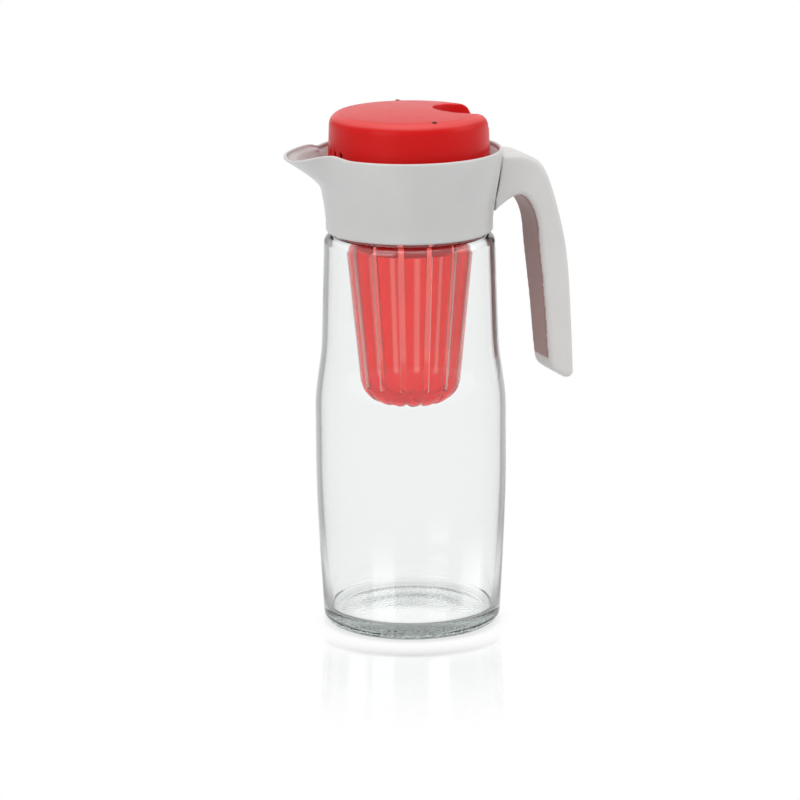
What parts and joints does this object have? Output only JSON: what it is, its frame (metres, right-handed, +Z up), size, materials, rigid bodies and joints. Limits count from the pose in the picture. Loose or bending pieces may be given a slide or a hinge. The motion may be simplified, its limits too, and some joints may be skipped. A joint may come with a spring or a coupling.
{
  "type": "fruit infuser pitcher",
  "caption": "Glass jug with a screw-on pouring collar, spout and open-ended handle, and a turning domed lid that carries a slotted fruit basket.",
  "frame": {"origin": "centre of the jar's foot ring, on the plane that it stands on", "axes": "+Z up along the jar's axis, +X towards the handle, -X towards the spout"},
  "size_m": [0.1559, 0.1, 0.2736],
  "materials": {
    "glass": "clear gloss",
    "collar": "satin",
    "handle": "satin",
    "cover": "satin",
    "lid": "satin",
    "plug": "satin",
    "basket": "translucent gloss",
    "silicone": "matte"
  },
  "bodies": {
    "jar": {"glass_jar": "glass"},
    "gasket": {"neck_gasket": "silicone"},
    "collar": {"pouring_collar": "collar", "handle_shell": "handle", "handle_cover": "cover"},
    "lid_seat": {"lid_seal": "silicone"},
    "lid": {"lid_cap": "lid", "lid_plug": "plug"},
    "basket": {"infuser_basket": "basket"}
  },
  "joints": [
    {"name": "collar_rise", "type": "slide", "parent": "jar", "child": "gasket", "axis": [0, 0, 1], "range_m": [0, 0.0042]},
    {"name": "collar_unscrew", "type": "hinge", "parent": "gasket", "child": "collar", "pos_m": [0, 0, 0.229], "axis": [0, 0, 1], "range_deg": [0, 300]},
    {"name": "lid_lift", "type": "slide", "parent": "collar", "child": "lid_seat", "axis": [0, 0, 1], "range_m": [0, 0.15]},
    {"name": "lid_turn", "type": "hinge", "parent": "lid_seat", "child": "lid", "pos_m": [0, 0, 0.2355], "axis": [0, 0, 1], "range_deg": [-90, 90]},
    {"name": "basket_twist", "type": "hinge", "parent": "lid", "child": "basket", "pos_m": [0, 0, 0.2217], "axis": [0, 0, 1], "range_deg": [0, 25]}
  ],
  "couplings": [
    {"joint": "collar_rise", "follows": "collar_unscrew", "m_per_rad": 0.00079577}
  ]
}
